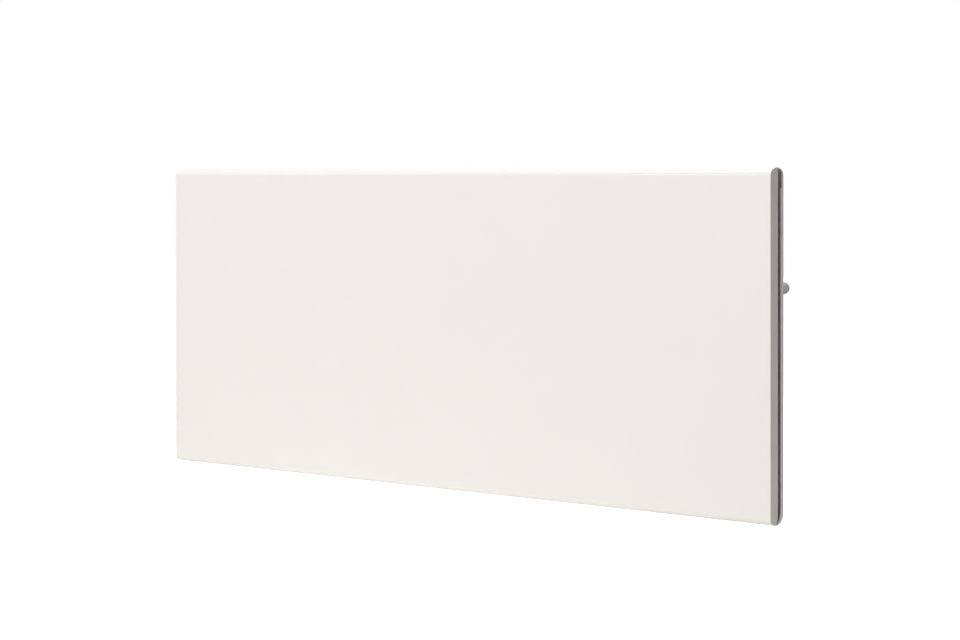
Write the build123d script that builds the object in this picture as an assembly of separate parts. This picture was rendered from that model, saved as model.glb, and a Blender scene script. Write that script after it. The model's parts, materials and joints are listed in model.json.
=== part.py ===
from build123d import *
import os

# A slim wall-hung convector heater on its stand-off wall bracket, in millimetres.
# The origin is the centre of the bracket's four wall-screw holes, on the wall plane.
# X runs to the right seen from the room, Y points into the wall, Z is up.

# Case
CASE_LENGTH = 853.0
CASE_HEIGHT = 393.0
CASE_DEPTH = 36.0
ROLL_RISE = 9.3  # height of the half ellipse that rounds the top and the bottom
WALL_GAP = 48.0
FRONT_SHEET = 1.0
BACK_SHEET = 0.8
FRONT_FLANGE = 20.2  # depth of the front panel's end flange
FRONT_FLANGE_CORNERS = (5.5, 11.0)  # at the top and the bottom
REAR_FLANGE = 8.2  # depth of the back panel's end flange
REAR_FLANGE_CORNERS = (4.0, 13.0)
REAR_FLANGE_RIM = 1.6  # its width along the rolls
NOTCH_FLANGE = 5.0  # its depth where it is notched at the top
NOTCH_HEIGHT = 21.0
FOLD_RADIUS = 0.9
SEAM = 0.6
LAP = 8.0  # how far the back panel tucks under the front panel's rolls
LAP_GAP = 0.15
LAP_STEP = 1.5

# Air slots in the rear half of both rolls
SLOT_WIDTH = 5.0
SLOT_LENGTH = 15.0
SLOT_PITCH = 11.0
SLOT_COUNT = 69
SLOT_TILT = 30.0  # lean of the punch towards the wall, in degrees
SLOT_SETBACK = 11.2  # from the middle of the case towards the wall
SLOT_DROP = 2.0  # from the crown of the roll
PUNCH_REACH = 15.0

# Stiffener channels between the two panels
POST_X = {"left": -330.0, "middle": 0.0, "right": 330.0}
POST_SHEET = 1.2
POST_HALF_HEIGHT = 178.0
POST_FLANGE = 14.0
POST_SCREW_Z = 150.0
WIRE_PASS_RADIUS = 3.0
WINDOW_MARGIN = 2.5  # round the fins, in the middle stiffener

# Heating element
ELEMENT_Z = -110.0
ELEMENT_HALF_LENGTH = 318.0
FIN_HALF_DEPTH = 11.5
FIN_HALF_RISE = 26.0
FIN_THICKNESS = 1.3
LEVEL_FIN_THICKNESS = 1.0
FIN_LEVELS = (9.0, 15.0, 21.0)
HUB_RADIUS = 6.2
SHEATH_RADIUS = 4.0
SHEATH_WALL = 0.8
SHEATH_HALF_LENGTH = 342.0
HEATED_HALF_LENGTH = 336.0
COIL_RADIUS = 0.6
PIN_RADIUS = 1.5
PIN_LENGTH = 19.0
BEAD_COLLAR = 6.0
BUSH_RADIUS = 7.0
BUSH_RIM = 3.0
BUSH_RIM_LENGTH = 4.0
BUSH_NOSE = 5.0
SHIELD_TOP = -45.0
SHIELD_BOTTOM = -168.0
SHIELD_SHEET = 0.5
SHIELD_GAP = 3.0  # to the back panel
SHIELD_END_GAP = 2.0

# Wall bracket
BRACKET_X = 200.0
WALL_SCREW_Z = 100.0
WALL_SCREW_HOLE = 3.0
BRACKET_SHEET = 1.5
UPRIGHT_WIDTH = 36.0
UPRIGHT_TOP = 142.0
UPRIGHT_BOTTOM = -160.0
UPRIGHT_DEPTH = 12.0
RAIL_Z = 70.0
RAIL_HEIGHT = 24.0
RAIL_LIP = 7.0
PIVOT_Y = -30.0
PIVOT_Z = 122.0
PIVOT_RADIUS = 3.0
PIVOT_SLACK = 0.1
HOOK_FRONT_Y = -37.0
HOOK_ABOVE = 12.0
HOOK_CORNER = 3.5
SHEET_CORNER = 0.7
HOOK_BELOW = 14.0
HANGER_HALF_WIDTH = 32.0
HANGER_HALF_HEIGHT = 13.0
HANGER_CHEEK = 11.5
HANGER_CHEEK_HALF_HEIGHT = 7.0
HANGER_NOSE = 6.5  # from the pin's middle to the tip of the cheek
HANGER_FOOT = 12.0
HANGER_SCREW = 26.0
PIN_HEAD_RIM = 1.5
PIN_HEAD_HEIGHT = 1.6
CATCH_Z = -118.0
CATCH_HALF_HEIGHT = 6.0
CATCH_HALF_WIDTH = 12.0
CATCH_LEAF = 0.8
CATCH_FRONT_Y = -32.0
CATCH_FLARE = 3.6
CATCH_MOUTH = 5.0
CATCH_RIVET = 8.0
LUG_HALF_THICKNESS = 1.0
LUG_HALF_WIDTH = 15.0
LUG_HALF_HEIGHT = 8.0
LUG_BLADE_HALF_HEIGHT = 6.0
LUG_TIP_Y = -20.0
LUG_SCREW = 9.0
BACKING_SHEET = 2.0
SPACER_Z = -144.0
SPACER_HALF_HEIGHT = 12.0
SPACER_FRONT_Y = -42.0
BUFFER_RADIUS = 8.0
BUFFER_STEM = 3.0
BUFFER_STEM_LENGTH = 4.0
BRACKET_RIVET_Y = -7.0

# Control box behind the right-hand end
BOX_X = (330.0, 406.0)
BOX_Y = (-48.0, -16.0)
BOX_Z = (-20.0, 90.0)
BOX_WALL = 2.0
BOX_CORNER = 4.0
BOX_SCREWS_X = (344.0, 392.0)
BOX_SCREWS_Z = (-12.5, 80.0)
LID = 2.0
LIP_DEPTH = 1.5
LIP_WALL = 1.2
LIP_CORNER_CUT = 5.0
BOSS_INSET = 6.0
BOSS_RADIUS = 3.2
CONTROL_Y = -31.1
KNOB_Z = 61.8
KNOB_RADIUS = 7.25
KNOB_GAP = 0.6
KNOB_WALL = 1.3
KNOB_HOLLOW = 3.0
KNOB_GROOVES = 18
KNOB_GROOVE_RADIUS = 0.6
SHAFT_RADIUS = 3.0
SHAFT_GRIP = 12.0  # length of the shaft inside the knob
STAT_DEPTH = 20.0
STAT_HALF_WIDTH = 10.0
STAT_HALF_HEIGHT = 16.0
STAT_BUSH_RADIUS = 4.5
STAT_BUSH_LENGTH = 5.0
STAT_REAR_WALL = 4.0
STAT_NUT_RADIUS = 5.4
STAT_NUT_HEIGHT = 2.2
SWITCH_Z = 24.0
SWITCH_DEPTH = 16.0
SWITCH_HALF_WIDTH = 5.5
SWITCH_HALF_HEIGHT = 12.4
SWITCH_WELL = 9.0
BEZEL = 1.5
BEZEL_RIM = 2.0
ROCKER_X = 401.5
ROCKER_RADIUS = 11.0
ROCKER_FACE = 5.0  # from its pivot to the middle of its face
ROCKER_ANGLE = 8.0
ROCKER_HALF_WIDTH = 4.3
ROCKER_BACK = 2.0
ROCKER_WEDGE = 20.0  # half height of the wedge that its face is cut from
TRUNNION_RADIUS = 1.2
TRUNNION_HALF_LENGTH = 5.0
LAMP_Z = 42.0
LAMP_RADIUS = 2.5
LAMP_LENGTH = 14.0
LENS_RIM = 0.5
LENS_HEIGHT = 2.0
GLAND_X = 350.0
GLAND_Y = -31.0
GLAND_BORE = 4.0
GLAND_THREAD = 6.0
GLAND_HEX = 9.0
GLAND_HEAD = 4.0
GLAND_REACH = 12.0  # of its thread below the box
GLAND_NUT_HEIGHT = 3.0
GLAND_GRIPS = 12
GLAND_GRIP_RADIUS = 0.5
GLAND_NOSE = 5.0
GLAND_NOSE_RADIUS = 5.5
GLAND_BOTTOM = -40.0
BLOCK_TOP = 8.0
BLOCK_REAR_Y = -25.0
BLOCK_END_WALL = 4.0
POLE_DEPTH = 4.0  # how far a wire goes into its pole
POLE_SCREW_Z = 4.0
POLE_SCREW_RADIUS = 1.8
BULB_X = 368.0
BULB_Y = -40.0
BULB_RADIUS = 3.0
BULB_TOP = -54.0
BULB_LENGTH = 60.0
CAPILLARY_Y = -24.0
CAPILLARY_RADIUS = 0.6
CAPILLARY_BENDS_Z = (-30.0, -44.0)  # where it leans back to the bulb
CLIP_Z = (-90.0, -80.0)
CLIP_SHEET = 1.0
CLIP_HALF_WIDTH = 9.0

# Wiring
WIRE_RADIUS = 1.2
WIRE_BEND = 4.0
NEUTRAL_Z = 160.0
CUTOUT_Z = 120.0
CUTOUT_RADIUS = 8.0
CUTOUT_HEIGHT = 7.0
CUTOUT_TAB = 4.5  # from the cut-out's middle to each of its tabs
CUTOUT_NECK = 2.0
CUTOUT_REACH = 18.0  # from the stiffener to the tips of its tabs
EAR_SHEET = 1.0
EAR_HALF_WIDTH = 4.0
EAR_RIVET = 4.0  # from the cut-out's rim to its rivet
EAR_END = 7.0
EARTH_Y = -62.0
EARTH_Z = 40.0
EARTH_SHEET = 0.8
EARTH_RING = 4.4
EARTH_ARM_HALF_WIDTH = 1.5
EARTH_ARM_END = 13.0
BARREL_OFFSET = 2.0  # from the stiffener's face to the wire in the ring terminal
BARREL_START = 6.0
BARREL_LENGTH = 8.0
BARREL_WALL = 0.7
BARREL_STOP = 2.0
GROMMET_X = 358.0
GROMMET_Z = 74.0
GROMMET_HOLE = 6.0
GROMMET_BORE = 3.2
GROMMET_LIP = 1.2
GROMMET_RIM = 2.0
WIRE_SPREAD = 1.5  # of the live and earth wires in the grommet
NEUTRAL_LIFT = 1.75
END_RUN_X = 382.0  # where wires run down beside the ends of the element
LOOP_X = 364.0
TAB_HALF_WIDTH = 3.1
TAB_HALF_THICKNESS = 0.4
TAB_LENGTH = 8.0
SLEEVE_LENGTH = 12.0
SLEEVE_HALF_THICKNESS = 1.7
SLEEVE_MARGIN = 0.8
WIRE_STOP = 2.0  # from a tab's tip to the end of its wire
STAT_TABS_Z = (52.0, 73.1)
SWITCH_TABS_Z = (17.0, 31.0)
POLE_X = {"neutral": 338.0, "earth": 346.0, "live": 354.0}

# Fasteners
SCREW_RADIUS = 2.0
SMALL_SCREW_RADIUS = 1.5
CASE_SCREW_LENGTH = 8.0
FIXING_SCREW_LENGTH = 5.0
LID_SCREW_LENGTH = 12.0
BOX_SCREW_LENGTH = 6.0
RIVET_RADIUS = 2.0
HEAD_RATIO = 1.9  # of a head's radius to its shank's
SCREW_HEAD_HEIGHT = 1.2  # in shank radii
RIVET_HEAD_HEIGHT = 0.7
RECESS_LENGTH = 1.1  # in head radii
RECESS_WIDTH = 0.5  # in shank radii
RIM_ROUNDING = 0.45  # of a head's height
THROUGH = 3.0  # how far a drill runs to each side of the sheet it cuts
FIT = 0.05  # running and seating clearance on a radius
PART_GAP = 0.3  # between pieces that move past each other

# Places worked out from the dimensions above
HALF_LENGTH = CASE_LENGTH / 2
HALF_HEIGHT = CASE_HEIGHT / 2
REAR_Y = -WALL_GAP
FRONT_Y = REAR_Y - CASE_DEPTH
MID_Y = (FRONT_Y + REAR_Y) / 2
FRONT_INNER_Y = FRONT_Y + FRONT_SHEET
REAR_INNER_Y = REAR_Y - BACK_SHEET
PLATE_Y = REAR_Y + BRACKET_SHEET
BOX_RIGHT = BOX_X[1]
STAT_LEFT = BOX_RIGHT - BOX_WALL - STAT_DEPTH
SWITCH_LEFT = BOX_RIGHT - BOX_WALL - SWITCH_DEPTH
POST_FACE = POST_X["right"] + POST_SHEET
CUTOUT_TIP = POST_X["right"] + CUTOUT_REACH
PIN_TIP = HEATED_HALF_LENGTH + PIN_LENGTH + TAB_LENGTH
STAT_WIRE_X = STAT_LEFT - TAB_LENGTH - WIRE_STOP
SWITCH_WIRE_X = SWITCH_LEFT - TAB_LENGTH - WIRE_STOP
SIDES = {"left": -1, "right": 1}
ALONG = {
    "+x": Rot(0, 90, 0),
    "-x": Rot(0, -90, 0),
    "+y": Rot(-90, 0, 0),
    "-y": Rot(90, 0, 0),
    "+z": Rot(0, 0, 0),
    "-z": Rot(180, 0, 0),
}


# Building blocks

def block(x, y, z):
    """A box from its (low, high) pair on each axis."""
    size = (x[1] - x[0], y[1] - y[0], z[1] - z[0])
    return Pos(sum(x) / 2, sum(y) / 2, sum(z) / 2) * Box(*size)


def about(middle, half):
    return (middle - half, middle + half)


def rod(start, direction, length, radius):
    """A cylinder that starts at a point and runs in one of the six main directions."""
    base = (Align.CENTER, Align.CENTER, Align.MIN)
    return Pos(*start) * ALONG[direction] * Cylinder(radius, length, align=base)


def tube(start, direction, length, radius, bore):
    return rod(start, direction, length, radius) - rod(start, direction, length, bore)


def drill(place, direction, radius, reach=THROUGH):
    """A tool that cuts a round hole through the sheet at a place."""
    return Pos(*place) * ALONG[direction] * Cylinder(radius, 2 * reach)


def button(radius, height):
    """A disc on the XY plane with its upper rim rounded."""
    disc = Cylinder(radius, height, align=(Align.CENTER, Align.CENTER, Align.MIN))
    return fillet(disc.edges().group_by(Axis.Z)[-1], RIM_ROUNDING * height)


def screw(under_head, direction, length, radius=SCREW_RADIUS):
    """A pan-head screw with a cross recess, its head on the side of the direction."""
    head_radius = HEAD_RATIO * radius
    head_height = SCREW_HEAD_HEIGHT * radius
    head = button(head_radius, head_height)
    arm = RECESS_LENGTH * head_radius
    blade = RECESS_WIDTH * radius
    for size in ((arm, blade), (blade, arm)):
        head -= Pos(0, 0, head_height) * Box(*size, head_height)
    shank = rod((0, 0, 0), "-z", length, radius)
    return Pos(*under_head) * ALONG[direction] * (head + shank)


def rivet(start, direction, grip, flush=False):
    """A rivet with a domed head on both faces of its stack, or flush where it starts."""
    head = button(HEAD_RATIO * RIVET_RADIUS, RIVET_HEAD_HEIGHT * RIVET_RADIUS)
    body = rod((0, 0, 0), "+z", grip, RIVET_RADIUS) + Pos(0, 0, grip) * head
    if not flush:
        body += Rot(180, 0, 0) * head
    return Pos(*start) * ALONG[direction] * body


def hexagon_nut(start, direction, height, radius, bore):
    nut = extrude(RegularPolygon(radius, 6) - Circle(bore), height)
    return Pos(*start) * ALONG[direction] * nut


def along_x(face, start, end):
    """Extrudes a face, drawn with Y and Z as its axes, from one X to another."""
    return Pos(start, 0, 0) * extrude(Plane.YZ * face, end - start)


def plate(y, z, corner):
    """A rounded rectangle with Y and Z as its axes."""
    face = RectangleRounded(y[1] - y[0], z[1] - z[0], corner)
    return Pos(sum(y) / 2, sum(z) / 2) * face


def rounded_block(x, y, z, corner):
    """A box whose four edges along Y are rounded."""
    face = RectangleRounded(x[1] - x[0], z[1] - z[0], corner)
    return Pos(sum(x) / 2, y[0], sum(z) / 2) * ALONG["+y"] * extrude(face, y[1] - y[0])


def area(points):
    return make_face(Polyline(*points, close=True))


def mirrored(shape, side):
    return shape if side > 0 else mirror(shape, about=Plane.YZ)


def group(shapes):
    return Compound(children=list(shapes))


def at_bracket(shape, side):
    return Pos(side * BRACKET_X, 0, 0) * shape


# Case

def outline(inset=0.0):
    """The case's cross-section: two straight sides closed by half ellipses."""
    across = CASE_DEPTH / 2 - inset
    rise = ROLL_RISE - inset
    spring_z = HALF_HEIGHT - ROLL_RISE
    top = EllipticalCenterArc((MID_Y, spring_z), across, rise, 0, arc_size=180)
    low = EllipticalCenterArc((MID_Y, -spring_z), across, rise, 180, arc_size=180)
    return make_face([top, Line(top @ 1, low @ 0), low, Line(low @ 1, top @ 0)])


def skin(outer_inset, inner_inset, half_length):
    ring = outline(outer_inset) - outline(inner_inset)
    return along_x(ring, -half_length, half_length)


def slice_y(low, high, half_length=CASE_LENGTH):
    """A slab that spans the whole height of the case between two values of Y."""
    return block((-half_length, half_length), (low, high), (-CASE_HEIGHT, CASE_HEIGHT))


def flange_limit(rear_y, half_height, corners):
    """A rounded rectangle that ends at rear_y and runs out past the front."""
    top_corner, low_corner = corners
    y = (FRONT_Y - 2 * low_corner, rear_y)
    face = plate(y, (-half_height, half_height), low_corner)
    return face + plate(y, (0, half_height), top_corner)


def end_plates(face, sheet):
    return [
        along_x(face, -HALF_LENGTH, sheet - HALF_LENGTH),
        along_x(face, HALF_LENGTH - sheet, HALF_LENGTH),
    ]


def front_panel():
    """The front sheet, rolled back to the seams, with a flange folded in at each end."""
    shell = skin(0, FRONT_SHEET, HALF_LENGTH) & slice_y(2 * FRONT_Y, MID_Y - SEAM / 2)
    limit = flange_limit(FRONT_Y + FRONT_FLANGE, HALF_HEIGHT, FRONT_FLANGE_CORNERS)
    shell += end_plates(outline() & limit, FRONT_SHEET)
    folds = []
    for edge in shell.edges():
        on_end = abs(abs(edge.center().X) - HALF_LENGTH) < FIT
        if on_end and edge.center().Y < FRONT_Y + ROLL_RISE:
            folds.append(edge)
    return fillet(folds, FOLD_RADIUS)


def air_slots():
    """Flat-oval punches through the rear half of each roll."""
    face = SlotOverall(SLOT_LENGTH, SLOT_WIDTH, rotation=90)
    punch = extrude(face, PUNCH_REACH, both=True)
    first = -(SLOT_COUNT - 1) / 2 * SLOT_PITCH
    punches = []
    for side in SIDES.values():
        y = MID_Y + SLOT_SETBACK
        z = side * (HALF_HEIGHT - SLOT_DROP)
        for i in range(SLOT_COUNT):
            lean = Rot(-side * SLOT_TILT, 0, 0)
            punches.append(Pos(first + i * SLOT_PITCH, y, z) * lean * punch)
    return punches


def back_holes():
    """Round holes through the back panel's flat."""
    places = [(x, z, SCREW_RADIUS + FIT) for x, z in post_screws() + hanger_screws()]
    places += [(x, z, SMALL_SCREW_RADIUS + FIT) for x, z in box_screws()]
    places.append((GROMMET_X, GROMMET_Z, GROMMET_HOLE))
    return [drill((x, REAR_Y, z), "+y", radius) for x, z, radius in places]


def back_panel():
    """The rear sheet: shallow end flanges, slotted rolls, and a step under the front."""
    behind_seam = slice_y(MID_Y + SEAM / 2, 0)
    shell = skin(0, BACK_SHEET, HALF_LENGTH) & behind_seam
    rim_z = HALF_HEIGHT - REAR_FLANGE_RIM
    limit = flange_limit(REAR_Y - REAR_FLANGE, rim_z, REAR_FLANGE_CORNERS)
    notch = plate((MID_Y, REAR_Y - NOTCH_FLANGE), (rim_z - NOTCH_HEIGHT, rim_z), FOLD_RADIUS)
    for flange in end_plates(outline() - limit - notch, BACK_SHEET):
        shell += flange & behind_seam
    lap_outer = FRONT_SHEET + LAP_GAP
    lap_inner = lap_outer + BACK_SHEET
    lap_half = HALF_LENGTH - 2 * FRONT_SHEET
    step_rear = MID_Y + SEAM / 2 + LAP_STEP
    shell += skin(lap_outer, lap_inner, lap_half) & slice_y(MID_Y - LAP, step_rear)
    shell += skin(0, lap_inner, lap_half) & slice_y(MID_Y + SEAM / 2, step_rear)
    return shell - air_slots() - back_holes()


def inward(name):
    return 1 if name == "left" else -1


def post_screws():
    return [
        (x + inward(name) * POST_FLANGE / 2, z)
        for name, x in POST_X.items()
        for z in (-POST_SCREW_Z, POST_SCREW_Z)
    ]


def stiffener(name):
    """A channel from panel to panel, its flanges turned to the heater's middle."""
    web_x = POST_X[name]
    outer = web_x - inward(name) * POST_SHEET
    web = sorted((outer, web_x))
    flange = sorted((outer, web_x + inward(name) * POST_FLANGE))
    height = (-POST_HALF_HEIGHT, POST_HALF_HEIGHT)
    post = block(web, (FRONT_INNER_Y, REAR_INNER_Y), height)
    post += block(flange, (FRONT_INNER_Y, FRONT_INNER_Y + POST_SHEET), height)
    post += block(flange, (REAR_INNER_Y - POST_SHEET, REAR_INNER_Y), height)
    if name == "middle":
        window_y = about(MID_Y, FIN_HALF_DEPTH + WINDOW_MARGIN)
        window_z = about(ELEMENT_Z, FIN_HALF_RISE + WINDOW_MARGIN)
        post -= block(about(web_x, THROUGH), window_y, window_z)
    else:
        post -= drill((web_x, MID_Y, ELEMENT_Z), "+x", BUSH_RADIUS + FIT)
    post -= drill((web_x, MID_Y, NEUTRAL_Z), "+x", WIRE_PASS_RADIUS)
    for x, z in post_screws():
        post -= drill((x, REAR_INNER_Y, z), "+y", SCREW_RADIUS + FIT)
    if name == "right":
        for z in cutout_rivets_z():
            post -= drill((web_x, MID_Y, z), "+x", RIVET_RADIUS + FIT)
        post -= drill((web_x, EARTH_Y, EARTH_Z), "+x", SCREW_RADIUS + FIT)
    return post


def case_screws():
    return group(screw((x, REAR_Y, z), "+y", CASE_SCREW_LENGTH) for x, z in post_screws())


# Heating element

def element_fins():
    """The extruded aluminium profile: a crossed pair of webs with level fins."""
    tilt = Vector(FIN_HALF_DEPTH, FIN_HALF_RISE).get_angle(Vector(1, 0))
    length = 2 * Vector(FIN_HALF_DEPTH, FIN_HALF_RISE).length
    profile = Circle(HUB_RADIUS)
    for angle in (tilt, -tilt):
        profile += Rot(0, 0, angle) * Rectangle(length, FIN_THICKNESS)
    for level in FIN_LEVELS:
        for z in (-level, level):
            profile += Pos(0, z) * Rectangle(2 * FIN_HALF_DEPTH, LEVEL_FIN_THICKNESS)
    profile -= Circle(SHEATH_RADIUS + FIT)
    placed = Pos(MID_Y, ELEMENT_Z) * profile
    return along_x(placed, -ELEMENT_HALF_LENGTH, ELEMENT_HALF_LENGTH)


def element_tube(start, end, radius, bore):
    return tube((start, MID_Y, ELEMENT_Z), "+x", end - start, radius, bore)


def element_sheath():
    inner = SHEATH_RADIUS - SHEATH_WALL
    return element_tube(-SHEATH_HALF_LENGTH, SHEATH_HALF_LENGTH, SHEATH_RADIUS, inner)


def insulation_fill():
    outer = SHEATH_RADIUS - SHEATH_WALL - FIT
    return element_tube(-HEATED_HALF_LENGTH, HEATED_HALF_LENGTH, outer, COIL_RADIUS + FIT)


def resistance_wire():
    start = (-HEATED_HALF_LENGTH, MID_Y, ELEMENT_Z)
    return rod(start, "+x", 2 * HEATED_HALF_LENGTH, COIL_RADIUS)


def terminal_pin():
    """The cold end of the element's wire, with a flat tab outside the sheath."""
    pin = rod((HEATED_HALF_LENGTH, MID_Y, ELEMENT_Z), "+x", PIN_LENGTH + 1, PIN_RADIUS)
    return pin + tab(PIN_TIP - TAB_LENGTH, MID_Y, ELEMENT_Z, 1)


def terminal_pins():
    return group(mirrored(terminal_pin(), side) for side in SIDES.values())


def end_bead():
    """The ceramic bead that closes the sheath round the pin."""
    bore = PIN_RADIUS + FIT
    inner = SHEATH_RADIUS - SHEATH_WALL - FIT
    plug = element_tube(HEATED_HALF_LENGTH, SHEATH_HALF_LENGTH, inner, bore)
    collar_end = SHEATH_HALF_LENGTH + BEAD_COLLAR
    return plug + element_tube(SHEATH_HALF_LENGTH, collar_end, SHEATH_RADIUS, bore)


def end_beads():
    return group(mirrored(end_bead(), side) for side in SIDES.values())


def element_bush(side):
    """The ceramic bush that carries the sheath in the web of a stiffener."""
    web_x = POST_X["right"]
    bore = SHEATH_RADIUS + FIT
    start = web_x - BUSH_RIM_LENGTH
    bush = element_tube(start, POST_FACE + BUSH_NOSE, BUSH_RADIUS, bore)
    bush += element_tube(start, web_x, BUSH_RADIUS + BUSH_RIM, bore)
    return mirrored(bush, side)


def heat_shield(side):
    """A bright sheet between the element and the back panel, folded at the top."""
    inner_end = SHIELD_END_GAP if side > 0 else POST_FLANGE + SHIELD_END_GAP
    x = (inner_end, POST_X["right"] - POST_FLANGE - 1)
    rear_y = REAR_INNER_Y - SHIELD_GAP
    sheet = block(x, (rear_y - SHIELD_SHEET, rear_y), (SHIELD_BOTTOM, SHIELD_TOP))
    for z in (SHIELD_BOTTOM, SHIELD_TOP - SHIELD_SHEET):
        sheet += block(x, (rear_y - SHIELD_SHEET, REAR_INNER_Y), (z, z + SHIELD_SHEET))
    return mirrored(sheet, side)


# Thermal cut-out and wiring

def tab(start_x, y, z, side):
    """A flat push-on terminal that points to the right (side 1) or to the left."""
    x = sorted((start_x, start_x + side * TAB_LENGTH))
    return block(x, about(y, TAB_HALF_THICKNESS), about(z, TAB_HALF_WIDTH))


def cutout_rivets_z():
    return about(CUTOUT_Z, CUTOUT_RADIUS + EAR_RIVET)


def thermal_cutout():
    body = rod((POST_FACE, MID_Y, CUTOUT_Z), "+x", CUTOUT_HEIGHT, CUTOUT_RADIUS)
    ear_x = (POST_FACE, POST_FACE + EAR_SHEET)
    ear_z = about(CUTOUT_Z, CUTOUT_RADIUS + EAR_END)
    body += block(ear_x, about(MID_Y, EAR_HALF_WIDTH), ear_z)
    for z in cutout_rivets_z():
        body -= drill((POST_FACE, MID_Y, z), "+x", RIVET_RADIUS + FIT)
    neck_x = (POST_FACE + CUTOUT_HEIGHT - 1, CUTOUT_TIP - TAB_LENGTH)
    for y in about(MID_Y, CUTOUT_TAB):
        body += tab(CUTOUT_TIP - TAB_LENGTH, y, CUTOUT_Z, 1)
        body += block(neck_x, about(y, TAB_HALF_THICKNESS), about(CUTOUT_Z, CUTOUT_NECK))
    return body


def cutout_rivets():
    start_x = POST_X["right"]
    grip = POST_SHEET + EAR_SHEET
    return group(rivet((start_x, MID_Y, z), "+x", grip) for z in cutout_rivets_z())


def wire_sleeve(tip_x, y, z, side):
    """The push-on socket round a tab; the wire leaves it on the side away from it."""
    start = tip_x - side * (TAB_LENGTH - 1)
    end = start + side * SLEEVE_LENGTH
    sleeve_z = about(z, TAB_HALF_WIDTH + SLEEVE_MARGIN)
    sleeve = block(sorted((start, end)), about(y, SLEEVE_HALF_THICKNESS), sleeve_z)
    slot_x = sorted((start - side, tip_x + side * FIT))
    slot_y = about(y, TAB_HALF_THICKNESS + FIT)
    sleeve -= block(slot_x, slot_y, about(z, TAB_HALF_WIDTH + FIT))
    direction = "+x" if side > 0 else "-x"
    return sleeve - rod((tip_x + side, y, z), direction, SLEEVE_LENGTH, WIRE_RADIUS + FIT)


def sleeve_places():
    """(tab tip, Y, Z, side) of each push-on terminal in the heater."""
    places = [(side * PIN_TIP, MID_Y, ELEMENT_Z, side) for side in SIDES.values()]
    places += [(CUTOUT_TIP, y, CUTOUT_Z, 1) for y in about(MID_Y, CUTOUT_TAB)]
    places += [(STAT_LEFT - TAB_LENGTH, CONTROL_Y, z, -1) for z in STAT_TABS_Z]
    places += [(SWITCH_LEFT - TAB_LENGTH, CONTROL_Y, z, -1) for z in SWITCH_TABS_Z]
    return places


def wire_sleeves():
    return group(wire_sleeve(*place) for place in sleeve_places())


def wire(points, radius=WIRE_RADIUS, bend=WIRE_BEND):
    """A round wire: straight runs joined by arcs."""
    path = FilletPolyline(*points, radius=bend)
    start = Plane(origin=path @ 0, z_dir=path % 0)
    return sweep(start * Circle(radius), path=path)


def control_wires():
    """Supply to the switch, and switch to the thermostat."""
    low_z, high_z = SWITCH_TABS_Z
    live_x = POLE_X["live"]
    supply = [
        (live_x, CONTROL_Y, BLOCK_TOP - POLE_DEPTH),
        (live_x, CONTROL_Y, low_z),
        (SWITCH_WIRE_X, CONTROL_Y, low_z),
    ]
    switched = [
        (SWITCH_WIRE_X, CONTROL_Y, high_z),
        (LOOP_X, CONTROL_Y, high_z),
        (LOOP_X, CONTROL_Y, STAT_TABS_Z[0]),
        (STAT_WIRE_X, CONTROL_Y, STAT_TABS_Z[0]),
    ]
    return group(wire(points) for points in (supply, switched))


def wire_live():
    """Thermostat to cut-out, through the grommet."""
    x = GROMMET_X + WIRE_SPREAD
    z = STAT_TABS_Z[1]
    y = MID_Y - CUTOUT_TAB
    return wire([
        (STAT_WIRE_X, CONTROL_Y, z),
        (x, CONTROL_Y, z),
        (x, y, z),
        (x, y, CUTOUT_Z),
        (CUTOUT_TIP + WIRE_STOP, y, CUTOUT_Z),
    ])


def wire_element():
    """Cut-out to the element's right-hand pin."""
    y = MID_Y + CUTOUT_TAB
    return wire([
        (CUTOUT_TIP + WIRE_STOP, y, CUTOUT_Z),
        (END_RUN_X, y, CUTOUT_Z),
        (END_RUN_X, MID_Y, ELEMENT_Z),
        (PIN_TIP + WIRE_STOP, MID_Y, ELEMENT_Z),
    ])


def wire_neutral():
    """Terminal block to the element's left-hand pin, along the top of the case."""
    pole = POLE_X["neutral"]
    z = GROMMET_Z + NEUTRAL_LIFT
    return wire([
        (pole, CONTROL_Y, BLOCK_TOP - POLE_DEPTH),
        (pole, CONTROL_Y, z),
        (GROMMET_X, CONTROL_Y, z),
        (GROMMET_X, MID_Y, z),
        (GROMMET_X, MID_Y, NEUTRAL_Z),
        (-END_RUN_X, MID_Y, NEUTRAL_Z),
        (-END_RUN_X, MID_Y, ELEMENT_Z),
        (-PIN_TIP - WIRE_STOP, MID_Y, ELEMENT_Z),
    ])


def wire_earth():
    """Terminal block to the ring terminal on the right-hand stiffener."""
    pole = POLE_X["earth"]
    x = GROMMET_X - WIRE_SPREAD
    z = STAT_TABS_Z[1]
    drop_x = POST_FACE + BARREL_OFFSET
    return wire([
        (pole, CONTROL_Y, BLOCK_TOP - POLE_DEPTH),
        (pole, CONTROL_Y, z),
        (x, CONTROL_Y, z),
        (x, EARTH_Y, z),
        (drop_x, EARTH_Y, z),
        (drop_x, EARTH_Y, EARTH_Z + BARREL_START + BARREL_STOP),
    ])


def earth_terminal():
    """A crimped ring terminal flat against the stiffener."""
    centre = (POST_FACE, EARTH_Y, EARTH_Z)
    ring = tube(centre, "+x", EARTH_SHEET, EARTH_RING, SCREW_RADIUS + FIT)
    arm_z = (EARTH_Z + EARTH_RING - EARTH_SHEET, EARTH_Z + EARTH_ARM_END)
    arm_x = (POST_FACE, POST_FACE + EARTH_SHEET)
    ring += block(arm_x, about(EARTH_Y, EARTH_ARM_HALF_WIDTH), arm_z)
    start = (POST_FACE + BARREL_OFFSET, EARTH_Y, EARTH_Z + BARREL_START)
    barrel = rod(start, "+z", BARREL_LENGTH, WIRE_RADIUS + BARREL_WALL)
    bore = rod(start, "+z", BARREL_LENGTH, WIRE_RADIUS + FIT)
    return ring + (barrel - Pos(0, 0, BARREL_STOP) * bore)


def earth_screw():
    return screw((POST_FACE + EARTH_SHEET, EARTH_Y, EARTH_Z), "+x", CASE_SCREW_LENGTH)


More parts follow.
